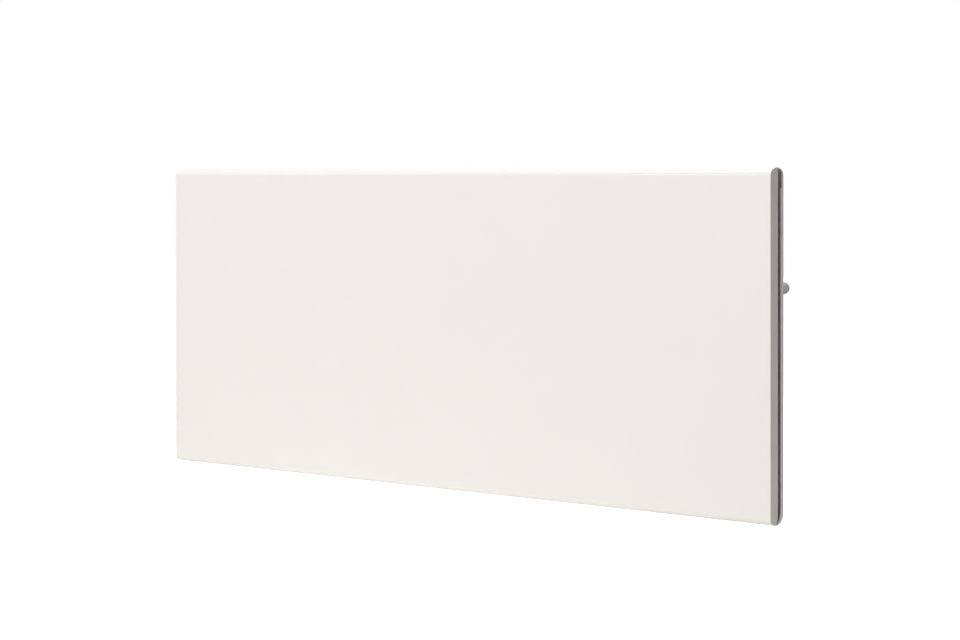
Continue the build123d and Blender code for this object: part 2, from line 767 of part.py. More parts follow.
def grommet():
    """A rubber bush through the back panel and the floor of the control box."""
    inner_end = REAR_INNER_Y - GROMMET_LIP
    box_end = BOX_Y[0] + BOX_WALL + GROMMET_LIP
    length = box_end - inner_end
    ring = rod((GROMMET_X, inner_end, GROMMET_Z), "+y", length, GROMMET_HOLE)
    for y in (inner_end, box_end - GROMMET_LIP):
        ring += rod((GROMMET_X, y, GROMMET_Z), "+y", GROMMET_LIP, GROMMET_HOLE + GROMMET_RIM)
    return ring - rod((GROMMET_X, inner_end, GROMMET_Z), "+y", length, GROMMET_BORE)


# Control box

def box_corners():
    return [
        (x, z)
        for x in (BOX_X[0] + BOSS_INSET, BOX_X[1] - BOSS_INSET)
        for z in (BOX_Z[0] + BOSS_INSET, BOX_Z[1] - BOSS_INSET)
    ]


def box_screws():
    return [(x, z) for x in BOX_SCREWS_X for z in BOX_SCREWS_Z]


def inset(span, amount):
    return (span[0] + amount, span[1] - amount)


def control_box():
    """The tub that stands on the back panel and opens towards the wall."""
    tub = rounded_block(BOX_X, BOX_Y, BOX_Z, BOX_CORNER)
    cavity_y = (BOX_Y[0] + BOX_WALL, BOX_Y[1] + 1)
    cavity_x = inset(BOX_X, BOX_WALL)
    cavity_z = inset(BOX_Z, BOX_WALL)
    tub -= rounded_block(cavity_x, cavity_y, cavity_z, BOX_CORNER - BOX_WALL)
    depth = BOX_Y[1] - cavity_y[0]
    for x, z in box_corners():
        tub += rod((x, cavity_y[0], z), "+y", depth, BOSS_RADIUS)
        tub -= drill((x, BOX_Y[1], z), "+y", SMALL_SCREW_RADIUS + FIT, LID_SCREW_LENGTH)
    tub -= drill((BOX_RIGHT, CONTROL_Y, KNOB_Z), "+x", STAT_BUSH_RADIUS + FIT)
    tub -= drill((BOX_RIGHT, CONTROL_Y, LAMP_Z), "+x", LAMP_RADIUS + FIT)
    tub -= block(
        about(BOX_RIGHT, THROUGH),
        about(CONTROL_Y, SWITCH_HALF_WIDTH + FIT),
        about(SWITCH_Z, SWITCH_HALF_HEIGHT + FIT),
    )
    tub -= drill((GLAND_X, GLAND_Y, BOX_Z[0]), "+z", GLAND_THREAD + FIT)
    tub -= drill((BULB_X, CAPILLARY_Y, BOX_Z[0]), "+z", 2 * CAPILLARY_RADIUS)
    tub -= drill((GROMMET_X, BOX_Y[0], GROMMET_Z), "+y", GROMMET_HOLE)
    for x, z in box_screws():
        tub -= drill((x, BOX_Y[0], z), "+y", SMALL_SCREW_RADIUS + FIT)
    return tub


def control_lid():
    """The flat lid on the wall side, with a lip that locates it in the tub."""
    lid = rounded_block(BOX_X, (BOX_Y[1], BOX_Y[1] + LID), BOX_Z, BOX_CORNER)
    lip_y = (BOX_Y[1] - LIP_DEPTH, BOX_Y[1])
    lip_x = inset(BOX_X, BOX_WALL + FIT)
    lip_z = inset(BOX_Z, BOX_WALL + FIT)
    lip = rounded_block(lip_x, lip_y, lip_z, BOX_CORNER - BOX_WALL)
    lip -= rounded_block(inset(lip_x, LIP_WALL), lip_y, inset(lip_z, LIP_WALL), 1)
    for x, z in box_corners():
        lip -= block(about(x, LIP_CORNER_CUT), lip_y, about(z, LIP_CORNER_CUT))
        lid -= drill((x, BOX_Y[1], z), "+y", SMALL_SCREW_RADIUS + FIT)
    return lid + lip


def lid_screws():
    y = BOX_Y[1] + LID
    return group(
        screw((x, y, z), "+y", LID_SCREW_LENGTH, SMALL_SCREW_RADIUS) for x, z in box_corners()
    )


def box_fixings():
    y = BOX_Y[0] + BOX_WALL
    return group(
        screw((x, y, z), "+y", BOX_SCREW_LENGTH, SMALL_SCREW_RADIUS) for x, z in box_screws()
    )


def thermostat():
    """The thermostat's body, its hollow threaded bush and its two tabs."""
    inner_wall = BOX_RIGHT - BOX_WALL
    body = block(
        (STAT_LEFT, inner_wall),
        about(CONTROL_Y, STAT_HALF_WIDTH),
        about(KNOB_Z, STAT_HALF_HEIGHT),
    )
    body += rod((inner_wall, CONTROL_Y, KNOB_Z), "+x", STAT_BUSH_LENGTH, STAT_BUSH_RADIUS)
    well_x = STAT_LEFT + STAT_REAR_WALL
    body -= rod((well_x, CONTROL_Y, KNOB_Z), "+x", 2 * STAT_DEPTH, SHAFT_RADIUS + FIT)
    for z in STAT_TABS_Z:
        body += tab(STAT_LEFT, CONTROL_Y, z, -1)
    return body


def thermostat_nut():
    start = (BOX_RIGHT, CONTROL_Y, KNOB_Z)
    bore = STAT_BUSH_RADIUS + FIT
    return hexagon_nut(start, "+x", STAT_NUT_HEIGHT, STAT_NUT_RADIUS, bore)


def knob():
    """A grooved, round-ended knob, hollow at the foot to cover the thermostat's nut."""
    foot_x = BOX_RIGHT + KNOB_GAP
    length = HALF_LENGTH - KNOB_RADIUS - foot_x
    body = rod((0, 0, 0), "+z", length, KNOB_RADIUS)
    body += Pos(0, 0, length) * Sphere(KNOB_RADIUS)
    body -= drill((0, 0, 0), "+z", KNOB_RADIUS - KNOB_WALL, KNOB_HOLLOW)
    body -= rod((0, 0, 0), "+z", SHAFT_GRIP, SHAFT_RADIUS)
    groove = drill((KNOB_RADIUS, 0, 0), "+z", KNOB_GROOVE_RADIUS, length + KNOB_GROOVE_RADIUS)
    for i in range(KNOB_GROOVES):
        body -= Rot(0, 0, i * 360 / KNOB_GROOVES) * groove
    return Pos(foot_x, CONTROL_Y, KNOB_Z) * ALONG["+x"] * body


def knob_shaft():
    start_x = STAT_LEFT + STAT_REAR_WALL + 2
    end_x = BOX_RIGHT + KNOB_GAP + SHAFT_GRIP
    return rod((start_x, CONTROL_Y, KNOB_Z), "+x", end_x - start_x, SHAFT_RADIUS)


def capillary_tube():
    """The thermostat's sensing bulb and the thin tube that leads to it."""
    bend_top, bend_low = CAPILLARY_BENDS_Z
    route = [
        (STAT_LEFT, CAPILLARY_Y, KNOB_Z),
        (BULB_X, CAPILLARY_Y, KNOB_Z),
        (BULB_X, CAPILLARY_Y, bend_top),
        (BULB_X, BULB_Y, bend_low),
        (BULB_X, BULB_Y, BULB_TOP - 2),
    ]
    bulb = rod((BULB_X, BULB_Y, BULB_TOP), "-z", BULB_LENGTH, BULB_RADIUS)
    return wire(route, CAPILLARY_RADIUS) + bulb


def bulb_clip():
    """A sheet clip that holds the bulb off the back panel."""
    outer = BULB_RADIUS + CLIP_SHEET
    height = CLIP_Z[1] - CLIP_Z[0]
    ring = tube((BULB_X, BULB_Y, CLIP_Z[0]), "+z", height, outer, BULB_RADIUS + FIT)
    foot = block(about(BULB_X, CLIP_HALF_WIDTH), (REAR_Y, REAR_Y + CLIP_SHEET), CLIP_Z)
    stem_y = (REAR_Y, BULB_Y - outer + CLIP_SHEET / 2)
    return foot + block(about(BULB_X, 2 * CLIP_SHEET), stem_y, CLIP_Z) + ring


def switch_body():
    """The switch's frame and body, with the well that the rocker tips in."""
    body = block(
        (SWITCH_LEFT, BOX_RIGHT),
        about(CONTROL_Y, SWITCH_HALF_WIDTH),
        about(SWITCH_Z, SWITCH_HALF_HEIGHT),
    )
    body += block(
        (BOX_RIGHT, BOX_RIGHT + BEZEL),
        about(CONTROL_Y, SWITCH_HALF_WIDTH + BEZEL_RIM),
        about(SWITCH_Z, SWITCH_HALF_HEIGHT + BEZEL_RIM),
    )
    body -= block(
        (BOX_RIGHT - SWITCH_WELL, BOX_RIGHT + SWITCH_WELL),
        about(CONTROL_Y, ROCKER_HALF_WIDTH + PART_GAP),
        about(SWITCH_Z, ROCKER_RADIUS + PART_GAP),
    )
    pivot = (ROCKER_X, CONTROL_Y, SWITCH_Z)
    body -= drill(pivot, "+y", TRUNNION_RADIUS + FIT, TRUNNION_HALF_LENGTH + PART_GAP)
    for z in SWITCH_TABS_Z:
        body += tab(SWITCH_LEFT, CONTROL_Y, z, -1)
    return body


def rocker():
    """A shallow V with round ends, at rest in its off position (lower end pressed)."""
    rise = ROCKER_WEDGE * Vector(1, 0).rotate(Axis.Z, ROCKER_ANGLE).Y
    wedge = area([
        (-ROCKER_BACK, -ROCKER_WEDGE),
        (ROCKER_FACE + rise, -ROCKER_WEDGE),
        (ROCKER_FACE, 0),
        (ROCKER_FACE + rise, ROCKER_WEDGE),
        (-ROCKER_BACK, ROCKER_WEDGE),
    ])
    face = Circle(ROCKER_RADIUS) & wedge
    body = extrude(Plane.XZ * face, ROCKER_HALF_WIDTH, both=True)
    body += drill((0, 0, 0), "+y", TRUNNION_RADIUS, TRUNNION_HALF_LENGTH)
    return Pos(ROCKER_X, CONTROL_Y, SWITCH_Z) * Rot(0, ROCKER_ANGLE, 0) * body


def indicator_lamp():
    """A small neon lamp with a domed lens."""
    body = rod((BOX_RIGHT, CONTROL_Y, LAMP_Z), "-x", LAMP_LENGTH, LAMP_RADIUS)
    lens = ALONG["+x"] * button(LAMP_RADIUS + LENS_RIM, LENS_HEIGHT)
    return body + Pos(BOX_RIGHT, CONTROL_Y, LAMP_Z) * lens


def terminal_block():
    """Three poles: the cord enters from below and the inner wires leave upwards."""
    poles = list(POLE_X.values())
    body_x = (poles[0] - BLOCK_END_WALL, poles[-1] + BLOCK_END_WALL)
    body = block(body_x, (BOX_Y[0] + BOX_WALL, BLOCK_REAR_Y), about(0, BLOCK_TOP))
    for x in poles:
        for z in about(0, BLOCK_TOP):
            body -= drill((x, CONTROL_Y, z), "+z", WIRE_RADIUS + FIT, POLE_DEPTH + 1)
        for z in about(0, POLE_SCREW_Z):
            body -= drill((x, BLOCK_REAR_Y, z), "+y", POLE_SCREW_RADIUS)
    return body


def gland_turned(points):
    """A piece of the cable gland, turned from half of its section (radius, Z)."""
    body = revolve(Plane.XZ * area(points), Axis.Z)
    return Pos(GLAND_X, GLAND_Y, 0) * body


def gland_body():
    under = BOX_Z[0]
    inner_end = under + BOX_WALL + GLAND_NUT_HEIGHT + 1
    body = gland_turned([
        (GLAND_BORE, inner_end),
        (GLAND_THREAD, inner_end),
        (GLAND_THREAD, under),
        (GLAND_HEX, under),
        (GLAND_HEX, under - GLAND_HEAD),
        (GLAND_THREAD, under - GLAND_HEAD),
        (GLAND_THREAD, under - GLAND_REACH),
        (GLAND_BORE, under - GLAND_REACH),
    ])
    low = (GLAND_X, GLAND_Y, GLAND_BOTTOM)
    return body & hexagon_nut(low, "+z", inner_end - GLAND_BOTTOM, GLAND_HEX, 1)


def gland_cap():
    """The grooved cap whose rounded nose grips the cord."""
    top = BOX_Z[0] - GLAND_HEAD - PART_GAP
    throat = BOX_Z[0] - GLAND_REACH - PART_GAP
    radius = GLAND_HEX - 2 * PART_GAP
    body = gland_turned([
        (GLAND_THREAD + FIT, top),
        (radius, top),
        (radius, GLAND_BOTTOM + GLAND_NOSE),
        ((radius + GLAND_NOSE_RADIUS) / 2, GLAND_BOTTOM + GLAND_NOSE / 4),
        (GLAND_NOSE_RADIUS, GLAND_BOTTOM),
        (GLAND_BORE, GLAND_BOTTOM),
        (GLAND_BORE, throat),
        (GLAND_THREAD + FIT, throat),
    ])
    start = (radius + PART_GAP, 0, GLAND_BOTTOM + GLAND_NOSE + 1)
    groove = rod(start, "+z", GLAND_REACH, GLAND_GRIP_RADIUS)
    for i in range(GLAND_GRIPS):
        body -= Pos(GLAND_X, GLAND_Y, 0) * Rot(0, 0, i * 360 / GLAND_GRIPS) * groove
    return body


def gland_nut():
    start = (GLAND_X, GLAND_Y, BOX_Z[0] + BOX_WALL)
    return hexagon_nut(start, "+z", GLAND_NUT_HEIGHT, GLAND_HEX, GLAND_THREAD + FIT)


# Hanging

def hanger_screws():
    """(x, z) of the screws that hold the hangers and the catch lugs."""
    places = []
    for side in SIDES.values():
        middle = side * BRACKET_X
        places += [(x, PIVOT_Z) for x in about(middle, HANGER_SCREW)]
        places += [(x, CATCH_Z) for x in about(middle, LUG_SCREW)]
    return places


def fixing_screws():
    return group(
        screw((x, PLATE_Y, z), "+y", FIXING_SCREW_LENGTH) for x, z in hanger_screws()
    )


def screw_holes(shape):
    for x, z in hanger_screws():
        shape -= drill((x, REAR_Y, z), "+y", SCREW_RADIUS + FIT, FIXING_SCREW_LENGTH)
    return shape


def hanger(side):
    """The plate and two cheeks that hold the pivot pin behind the back panel."""
    plate_z = about(PIVOT_Z, HANGER_HALF_HEIGHT)
    body = block(about(0, HANGER_HALF_WIDTH), (REAR_Y, PLATE_Y), plate_z)
    cheek_z = about(PIVOT_Z, HANGER_CHEEK_HALF_HEIGHT)
    face = plate((REAR_Y, PIVOT_Y + HANGER_NOSE), cheek_z, HANGER_CHEEK_HALF_HEIGHT - 1)
    face += plate((REAR_Y, REAR_Y + HANGER_FOOT), cheek_z, PART_GAP)
    face -= Pos(PIVOT_Y, PIVOT_Z) * Circle(PIVOT_RADIUS + FIT)
    for x in (-HANGER_CHEEK, HANGER_CHEEK - BRACKET_SHEET):
        body += along_x(face, x, x + BRACKET_SHEET)
    return screw_holes(at_bracket(body, side))


def hanger_pins():
    """Headed pins that rest in the bracket's hooks; the heater swings on them."""
    cheek = UPRIGHT_WIDTH / 2 + PART_GAP
    pin = rod((-cheek, PIVOT_Y, PIVOT_Z), "+x", 2 * cheek, PIVOT_RADIUS)
    for x, direction in ((-cheek, "-x"), (cheek, "+x")):
        head = ALONG[direction] * button(PIVOT_RADIUS + PIN_HEAD_RIM, PIN_HEAD_HEIGHT)
        pin += Pos(x, PIVOT_Y, PIVOT_Z) * head
    return group(at_bracket(pin, side) for side in SIDES.values())


def catch_lugs():
    """Blades on the heater's back that the spring catches grip."""
    foot_z = about(CATCH_Z, LUG_HALF_HEIGHT)
    body = block(about(0, LUG_HALF_WIDTH), (REAR_Y, PLATE_Y), foot_z)
    blade_z = about(CATCH_Z, LUG_BLADE_HALF_HEIGHT)
    blade = plate((REAR_Y, LUG_TIP_Y), blade_z, LUG_BLADE_HALF_HEIGHT / 2)
    body += along_x(blade, -LUG_HALF_THICKNESS, LUG_HALF_THICKNESS)
    return group(screw_holes(at_bracket(body, side)) for side in SIDES.values())


def backing_plates():
    """Tapped plates inside the back panel, behind the hangers and the lugs."""
    y = (REAR_INNER_Y - BACKING_SHEET, REAR_INNER_Y)
    wide = block(about(0, HANGER_HALF_WIDTH), y, about(PIVOT_Z, HANGER_HALF_HEIGHT))
    small = block(about(0, LUG_HALF_WIDTH), y, about(CATCH_Z, LUG_HALF_HEIGHT))
    return group(
        screw_holes(at_bracket(body, side))
        for body in (wide, small)
        for side in SIDES.values()
    )


# Wall bracket

def upright(side):
    """A channel on the wall whose cheeks reach forward as hooks near the top."""
    half = UPRIGHT_WIDTH / 2
    body = block(about(0, half), (-BRACKET_SHEET, 0), (UPRIGHT_BOTTOM, UPRIGHT_TOP))
    cheek = plate((-UPRIGHT_DEPTH, 0), (UPRIGHT_BOTTOM, UPRIGHT_TOP), SHEET_CORNER)
    hook_z = (PIVOT_Z - HOOK_BELOW, PIVOT_Z + HOOK_ABOVE)
    cheek += plate((HOOK_FRONT_Y, -BRACKET_SHEET), hook_z, HOOK_CORNER)
    slot_half = PIVOT_RADIUS + PIVOT_SLACK
    cheek -= Pos(PIVOT_Y, PIVOT_Z) * Circle(slot_half)
    cheek -= Pos(PIVOT_Y, PIVOT_Z + HOOK_ABOVE) * Rectangle(2 * slot_half, 2 * HOOK_ABOVE)
    rivet_hole = Circle(RIVET_RADIUS + FIT)
    cheek -= Pos(BRACKET_RIVET_Y, SPACER_Z) * rivet_hole
    inner = cheek - [Pos(BRACKET_RIVET_Y, z) * rivet_hole for z in about(0, RAIL_Z)]
    faces = (cheek, inner) if side < 0 else (inner, cheek)
    body += along_x(faces[0], -half, -half + BRACKET_SHEET)
    body += along_x(faces[1], half - BRACKET_SHEET, half)
    for z in about(0, WALL_SCREW_Z):
        body -= drill((0, 0, z), "+y", WALL_SCREW_HOLE)
    for x in about(0, CATCH_RIVET):
        body -= drill((x, 0, CATCH_Z), "+y", RIVET_RADIUS + FIT)
    return at_bracket(body, side)


def rail(z):
    """A lipped cross rail whose ends are folded up against the uprights."""
    end = BRACKET_X - UPRIGHT_WIDTH / 2
    span = (-end, end)
    half = RAIL_HEIGHT / 2
    body = block(span, (-BRACKET_SHEET, 0), about(z, half))
    body += block(span, (-RAIL_LIP, 0), (z - half, z - half + BRACKET_SHEET))
    body += block(span, (-RAIL_LIP, 0), (z + half - BRACKET_SHEET, z + half))
    face = plate((-UPRIGHT_DEPTH, 0), about(z, half), SHEET_CORNER)
    face -= Pos(BRACKET_RIVET_Y, z) * Circle(RIVET_RADIUS + FIT)
    body += along_x(face, -end, -end + BRACKET_SHEET)
    return body + along_x(face, end - BRACKET_SHEET, end)


def spacer(side):
    """A sheet-steel distance piece that carries the rubber buffer."""
    half = UPRIGHT_WIDTH / 2 - BRACKET_SHEET
    z = about(SPACER_Z, SPACER_HALF_HEIGHT)
    body = block(about(0, half), (SPACER_FRONT_Y, -BRACKET_SHEET), z)
    inner_y = (SPACER_FRONT_Y + BRACKET_SHEET, 0)
    body -= block(about(0, half - BRACKET_SHEET), inner_y, z)
    body -= drill((0, SPACER_FRONT_Y, SPACER_Z), "+y", BUFFER_STEM + FIT)
    body -= drill((0, BRACKET_RIVET_Y, SPACER_Z), "+x", RIVET_RADIUS + FIT, half + 1)
    return at_bracket(body, side)


def buffers():
    """Rubber feet that keep the heater's lower edge off the wall."""
    length = SPACER_FRONT_Y - REAR_Y - PART_GAP
    head = ALONG["-y"] * button(BUFFER_RADIUS, length)
    body = Pos(0, SPACER_FRONT_Y, SPACER_Z) * head
    body += rod((0, SPACER_FRONT_Y, SPACER_Z), "+y", BUFFER_STEM_LENGTH, BUFFER_STEM)
    bulge = ALONG["+y"] * button(BUFFER_STEM + 1, BUFFER_STEM_LENGTH / 2)
    body += Pos(0, SPACER_FRONT_Y + BRACKET_SHEET, SPACER_Z) * bulge
    return group(at_bracket(body, side) for side in SIDES.values())


def spring_catches():
    """Two spring leaves on a riveted foot, flared at the mouth."""
    gap = LUG_HALF_THICKNESS + PART_GAP
    foot_y = -BRACKET_SHEET - CATCH_LEAF
    leaf = area([
        (gap, foot_y),
        (gap, CATCH_FRONT_Y),
        (gap + CATCH_FLARE, CATCH_FRONT_Y - CATCH_MOUTH),
        (gap + CATCH_FLARE + CATCH_LEAF, CATCH_FRONT_Y - CATCH_MOUTH + CATCH_LEAF / 2),
        (gap + CATCH_LEAF, CATCH_FRONT_Y + CATCH_LEAF / 4),
        (gap + CATCH_LEAF, foot_y),
    ])
    profile = Pos(0, foot_y + CATCH_LEAF / 2) * Rectangle(2 * CATCH_HALF_WIDTH, CATCH_LEAF)
    profile += [leaf, mirror(leaf, about=Plane.YZ)]
    bottom = CATCH_Z - CATCH_HALF_HEIGHT
    body = Pos(0, 0, bottom) * extrude(profile, 2 * CATCH_HALF_HEIGHT)
    for x in about(0, CATCH_RIVET):
        body -= drill((x, 0, CATCH_Z), "+y", RIVET_RADIUS + FIT)
    return group(at_bracket(body, side) for side in SIDES.values())


def bracket_rivets():
    """Rails to uprights, spacers to uprights, and catches to uprights."""
    rivets = []
    half = UPRIGHT_WIDTH / 2
    grip = 2 * BRACKET_SHEET
    y = BRACKET_RIVET_Y
    for side in SIDES.values():
        middle = side * BRACKET_X
        rail_x = side * (BRACKET_X - half) - grip / 2
        rivets += [rivet((rail_x, y, z), "+x", grip) for z in about(0, RAIL_Z)]
        for x in (middle - half, middle + half - grip):
            rivets.append(rivet((x, y, SPACER_Z), "+x", grip))
        for x in about(middle, CATCH_RIVET):
            foot = BRACKET_SHEET + CATCH_LEAF
            rivets.append(rivet((x, 0, CATCH_Z), "-y", foot, flush=True))
    return group(rivets)


def subparts():
    """Every separate piece of the heater under its name."""
    pieces = {
        "front_panel": front_panel(),
        "back_panel": back_panel(),
        "case_screws": case_screws(),
        "element_fins": element_fins(),
        "element_sheath": element_sheath(),
        "insulation_fill": insulation_fill(),
        "resistance_wire": resistance_wire(),
        "terminal_pins": terminal_pins(),
        "end_beads": end_beads(),
        "thermal_cutout": thermal_cutout(),
        "cutout_rivets": cutout_rivets(),
        "wire_sleeves": wire_sleeves(),
        "control_wires": control_wires(),
        "wire_live": wire_live(),
        "wire_element": wire_element(),
        "wire_neutral": wire_neutral(),
        "wire_earth": wire_earth(),
        "earth_terminal": earth_terminal(),
        "earth_screw": earth_screw(),
        "grommet": grommet(),
        "control_box": control_box(),
        "control_lid": control_lid(),
        "lid_screws": lid_screws(),
        "box_fixings": box_fixings(),
        "thermostat": thermostat(),
        "thermostat_nut": thermostat_nut(),
        "capillary_tube": capillary_tube(),
        "bulb_clip": bulb_clip(),
        "switch_body": switch_body(),
        "indicator_lamp": indicator_lamp(),
        "terminal_block": terminal_block(),
        "gland_body": gland_body(),
        "gland_cap": gland_cap(),
        "gland_nut": gland_nut(),
        "hanger_pins": hanger_pins(),
        "fixing_screws": fixing_screws(),
        "catch_lugs": catch_lugs(),
        "backing_plates": backing_plates(),
        "knob": knob(),
        "knob_shaft": knob_shaft(),
        "rocker": rocker(),
        "rail_top": rail(RAIL_Z),
        "rail_bottom": rail(-RAIL_Z),
        "buffers": buffers(),
        "spring_catches": spring_catches(),
        "bracket_rivets": bracket_rivets(),
    }
    for name in POST_X:
        pieces[f"stiffener_{name}"] = stiffener(name)
    for name, side in SIDES.items():
        pieces[f"element_bush_{name}"] = element_bush(side)
        pieces[f"heat_shield_{name}"] = heat_shield(side)
        pieces[f"hanger_{name}"] = hanger(side)
        pieces[f"upright_{name}"] = upright(side)
        pieces[f"spacer_{name}"] = spacer(side)
    return pieces


def main():
    os.makedirs("parts", exist_ok=True)
    for name, shape in subparts().items():
        export_step(shape, f"parts/{name}.step")


main()
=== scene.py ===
import json
import math

import bmesh
import bpy
from mathutils import Matrix, Vector


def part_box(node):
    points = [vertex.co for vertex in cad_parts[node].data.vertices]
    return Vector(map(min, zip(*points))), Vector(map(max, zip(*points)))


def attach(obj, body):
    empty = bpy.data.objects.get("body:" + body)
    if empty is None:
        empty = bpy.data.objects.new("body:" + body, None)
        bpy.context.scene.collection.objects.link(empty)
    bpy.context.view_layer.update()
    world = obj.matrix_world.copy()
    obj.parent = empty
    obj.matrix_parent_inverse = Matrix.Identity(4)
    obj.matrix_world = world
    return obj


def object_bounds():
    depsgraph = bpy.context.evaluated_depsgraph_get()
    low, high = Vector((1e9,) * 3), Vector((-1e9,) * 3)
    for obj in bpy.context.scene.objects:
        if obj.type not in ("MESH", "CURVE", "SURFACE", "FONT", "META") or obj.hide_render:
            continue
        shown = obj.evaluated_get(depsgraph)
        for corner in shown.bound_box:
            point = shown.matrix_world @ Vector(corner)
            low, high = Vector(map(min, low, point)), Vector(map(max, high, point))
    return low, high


# The looks of a slim white wall-hung convector heater. All lengths are in metres.

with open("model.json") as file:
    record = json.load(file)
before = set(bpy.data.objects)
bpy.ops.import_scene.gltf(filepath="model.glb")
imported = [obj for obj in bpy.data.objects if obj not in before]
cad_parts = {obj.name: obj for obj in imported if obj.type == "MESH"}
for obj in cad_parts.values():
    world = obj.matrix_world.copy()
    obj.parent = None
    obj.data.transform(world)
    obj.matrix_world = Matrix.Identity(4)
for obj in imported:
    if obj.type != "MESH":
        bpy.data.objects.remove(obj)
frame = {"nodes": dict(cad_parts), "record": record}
cad_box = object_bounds()

# Photograph
PHOTO_WIDTH = 960
PHOTO_HEIGHT = 640
FOCAL_PIXELS = 1772
HORIZON_ROW = 175.6
CAMERA_PLACE = Vector((1.1744, -1.8886, 0.1874))
CAMERA_TURN = math.radians(31.83)
SENSOR_WIDTH = 36.0
NEAR_CLIP = 0.05

# Studio
FLOOR_DROP = 0.28  # from the heater's lowest point to the floor
FLOOR_HALF = 9.0
FLOOR_COLOR = (0.62, 0.60, 0.565)
FLOOR_DRIFT = 0.98  # how dark its slow patches are, against its colour
FLOOR_ROUGHNESS = 0.9
FLOOR_WAVES = 3  # per metre
FLOOR_LIFT = (0.80, 1.0)  # added where the floor is seen, near the heater and far from it
FLOOR_FAR = (0.7, 1.3)  # distances from the origin between which it grows
AMBIENT = 0.135
AMBIENT_COLOR = (1, 0.98, 0.95)
LAMPS = {
    # name: (place, size, power, colour)
    "key": ((-0.75, -3.7, 1.9), (1.6, 1.6), 94.0, (1, 0.99, 0.985)),
    "top": ((-0.2, 0.2, 2.2), (1.2, 0.8), 24.0, (1, 1, 1)),
    "low": ((-0.4, -3.0, -0.1), (1.5, 0.6), 12.0, (1, 0.99, 0.975)),
    "under": ((0, -0.15, -0.45), (0.9, 0.2), 0.45, (1, 0.99, 0.975)),
    "rear": ((-1.1, 2.6, 1.3), (1.2, 1.2), 42.0, (1, 1, 1)),
}

# Main places read from the frame
BACK_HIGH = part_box("back_panel")[1]
BOX_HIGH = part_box("control_box")[1]
KNOB_LOW, KNOB_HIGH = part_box("knob")
ROCKER_LOW, ROCKER_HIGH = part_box("rocker")
KNOB_RADIUS = (KNOB_HIGH.z - KNOB_LOW.z) / 2
KNOB_Y = (KNOB_LOW.y + KNOB_HIGH.y) / 2
KNOB_Z = (KNOB_LOW.z + KNOB_HIGH.z) / 2

# Printed marks and label
INK_HEIGHT = 0.00004
DIAL_ANGLES = (-135, 135)  # clockwise from straight up
DIAL_STEPS = 6
DIAL_TICKS = (0.0084, 0.0098)
DIAL_MINOR_TICK = 0.0092
DIAL_NUMBERS = 0.0117
DIGIT_HEIGHT = 0.0030
TICK_WIDTH = 0.00035
POINTER_WIDTH = 0.0011
POINTER_ARC = (10, 72)  # degrees down from the crown of the knob
POINTER_STEPS = 16
ROCKER_SIGN_HEIGHT = 0.0042
ROCKER_FACING = 0.9  # least X of the normal of a face that looks out of the box
LABEL_SIZE = (0.092, 0.050)
LABEL_PLACE = (-0.07, 0.0)
LABEL_CORNER = 0.004
LABEL_CORNER_STEPS = 6
LABEL_SHEET = 0.00012
LABEL_RIM = 0.0022
LABEL_RIM_EDGE = 0.0005

# Sockets of a mix node that is set to colours
MIX_FACTOR = 0
MIX_FIRST = 6
MIX_SECOND = 7
MIX_RESULT = 2


def mix_colors(tree, factor, first, second):
    """Mixes two colours by a factor and gives the result's socket."""
    mix = tree.nodes.new("ShaderNodeMix")
    mix.data_type = "RGBA"
    tree.links.new(factor, mix.inputs[MIX_FACTOR])
    mix.inputs[MIX_FIRST].default_value = (*first, 1)
    mix.inputs[MIX_SECOND].default_value = (*second, 1)
    return mix.outputs[MIX_RESULT]


class Surface:
    """A node material in the making: one shader and the textures that feed it."""

    def __init__(self, name, color, roughness, metallic=0.0):
        self.material = bpy.data.materials.new(name)
        self.material.use_nodes = True
        self.tree = self.material.node_tree
        self.shader = self.tree.nodes["Principled BSDF"]
        self.coords = self.tree.nodes.new("ShaderNodeTexCoord").outputs["Object"]
        self.normal = None
        self.set("Base Color", (*color, 1))
        self.set("Roughness", roughness)
        self.set("Metallic", metallic)

    def set(self, socket, value):
        self.shader.inputs[socket].default_value = value

    def link(self, output, socket):
        self.tree.links.new(output, self.shader.inputs[socket])

    def mapped(self, stretch):
        """The object's own coordinates, scaled along each axis."""
        mapping = self.tree.nodes.new("ShaderNodeMapping")
        mapping.inputs["Scale"].default_value = stretch
        self.tree.links.new(self.coords, mapping.inputs["Vector"])
        return mapping.outputs["Vector"]

    def noise(self, scale, detail=3.0, stretch=(1, 1, 1)):
        """A soft noise between 0 and 1; scale is in waves per metre."""
        texture = self.tree.nodes.new("ShaderNodeTexNoise")
        texture.inputs["Scale"].default_value = scale
        texture.inputs["Detail"].default_value = detail
        self.tree.links.new(self.mapped(stretch), texture.inputs["Vector"])
        return texture.outputs["Fac"]

    def cells(self, scale):
        """The distance to the middle of each cell of a crystal-like pattern."""
        texture = self.tree.nodes.new("ShaderNodeTexVoronoi")
        texture.inputs["Scale"].default_value = scale
        self.tree.links.new(self.coords, texture.inputs["Vector"])
        return texture.outputs["Distance"]

    def spread(self, value, low, high, start=0.3, end=0.7):
        """Maps a texture's middle range onto the range from low to high."""
        mapping = self.tree.nodes.new("ShaderNodeMapRange")
        self.tree.links.new(value, mapping.inputs["Value"])
        for socket, number in (
            ("From Min", start), ("From Max", end), ("To Min", low), ("To Max", high)
        ):
            mapping.inputs[socket].default_value = number
        return mapping.outputs["Result"]

    def vary_color(self, value, first, second):
        self.link(mix_colors(self.tree, value, first, second), "Base Color")

    def vary_roughness(self, value, low, high):
        self.link(self.spread(value, low, high), "Roughness")

    def bump(self, height, depth):
        """Adds relief: depth is the height of the texture in metres."""
        bump = self.tree.nodes.new("ShaderNodeBump")
        bump.inputs["Distance"].default_value = depth
        self.tree.links.new(height, bump.inputs["Height"])
        if self.normal is not None:
            self.tree.links.new(self.normal, bump.inputs["Normal"])
        self.normal = bump.outputs["Normal"]
        self.link(self.normal, "Normal")


# Materials

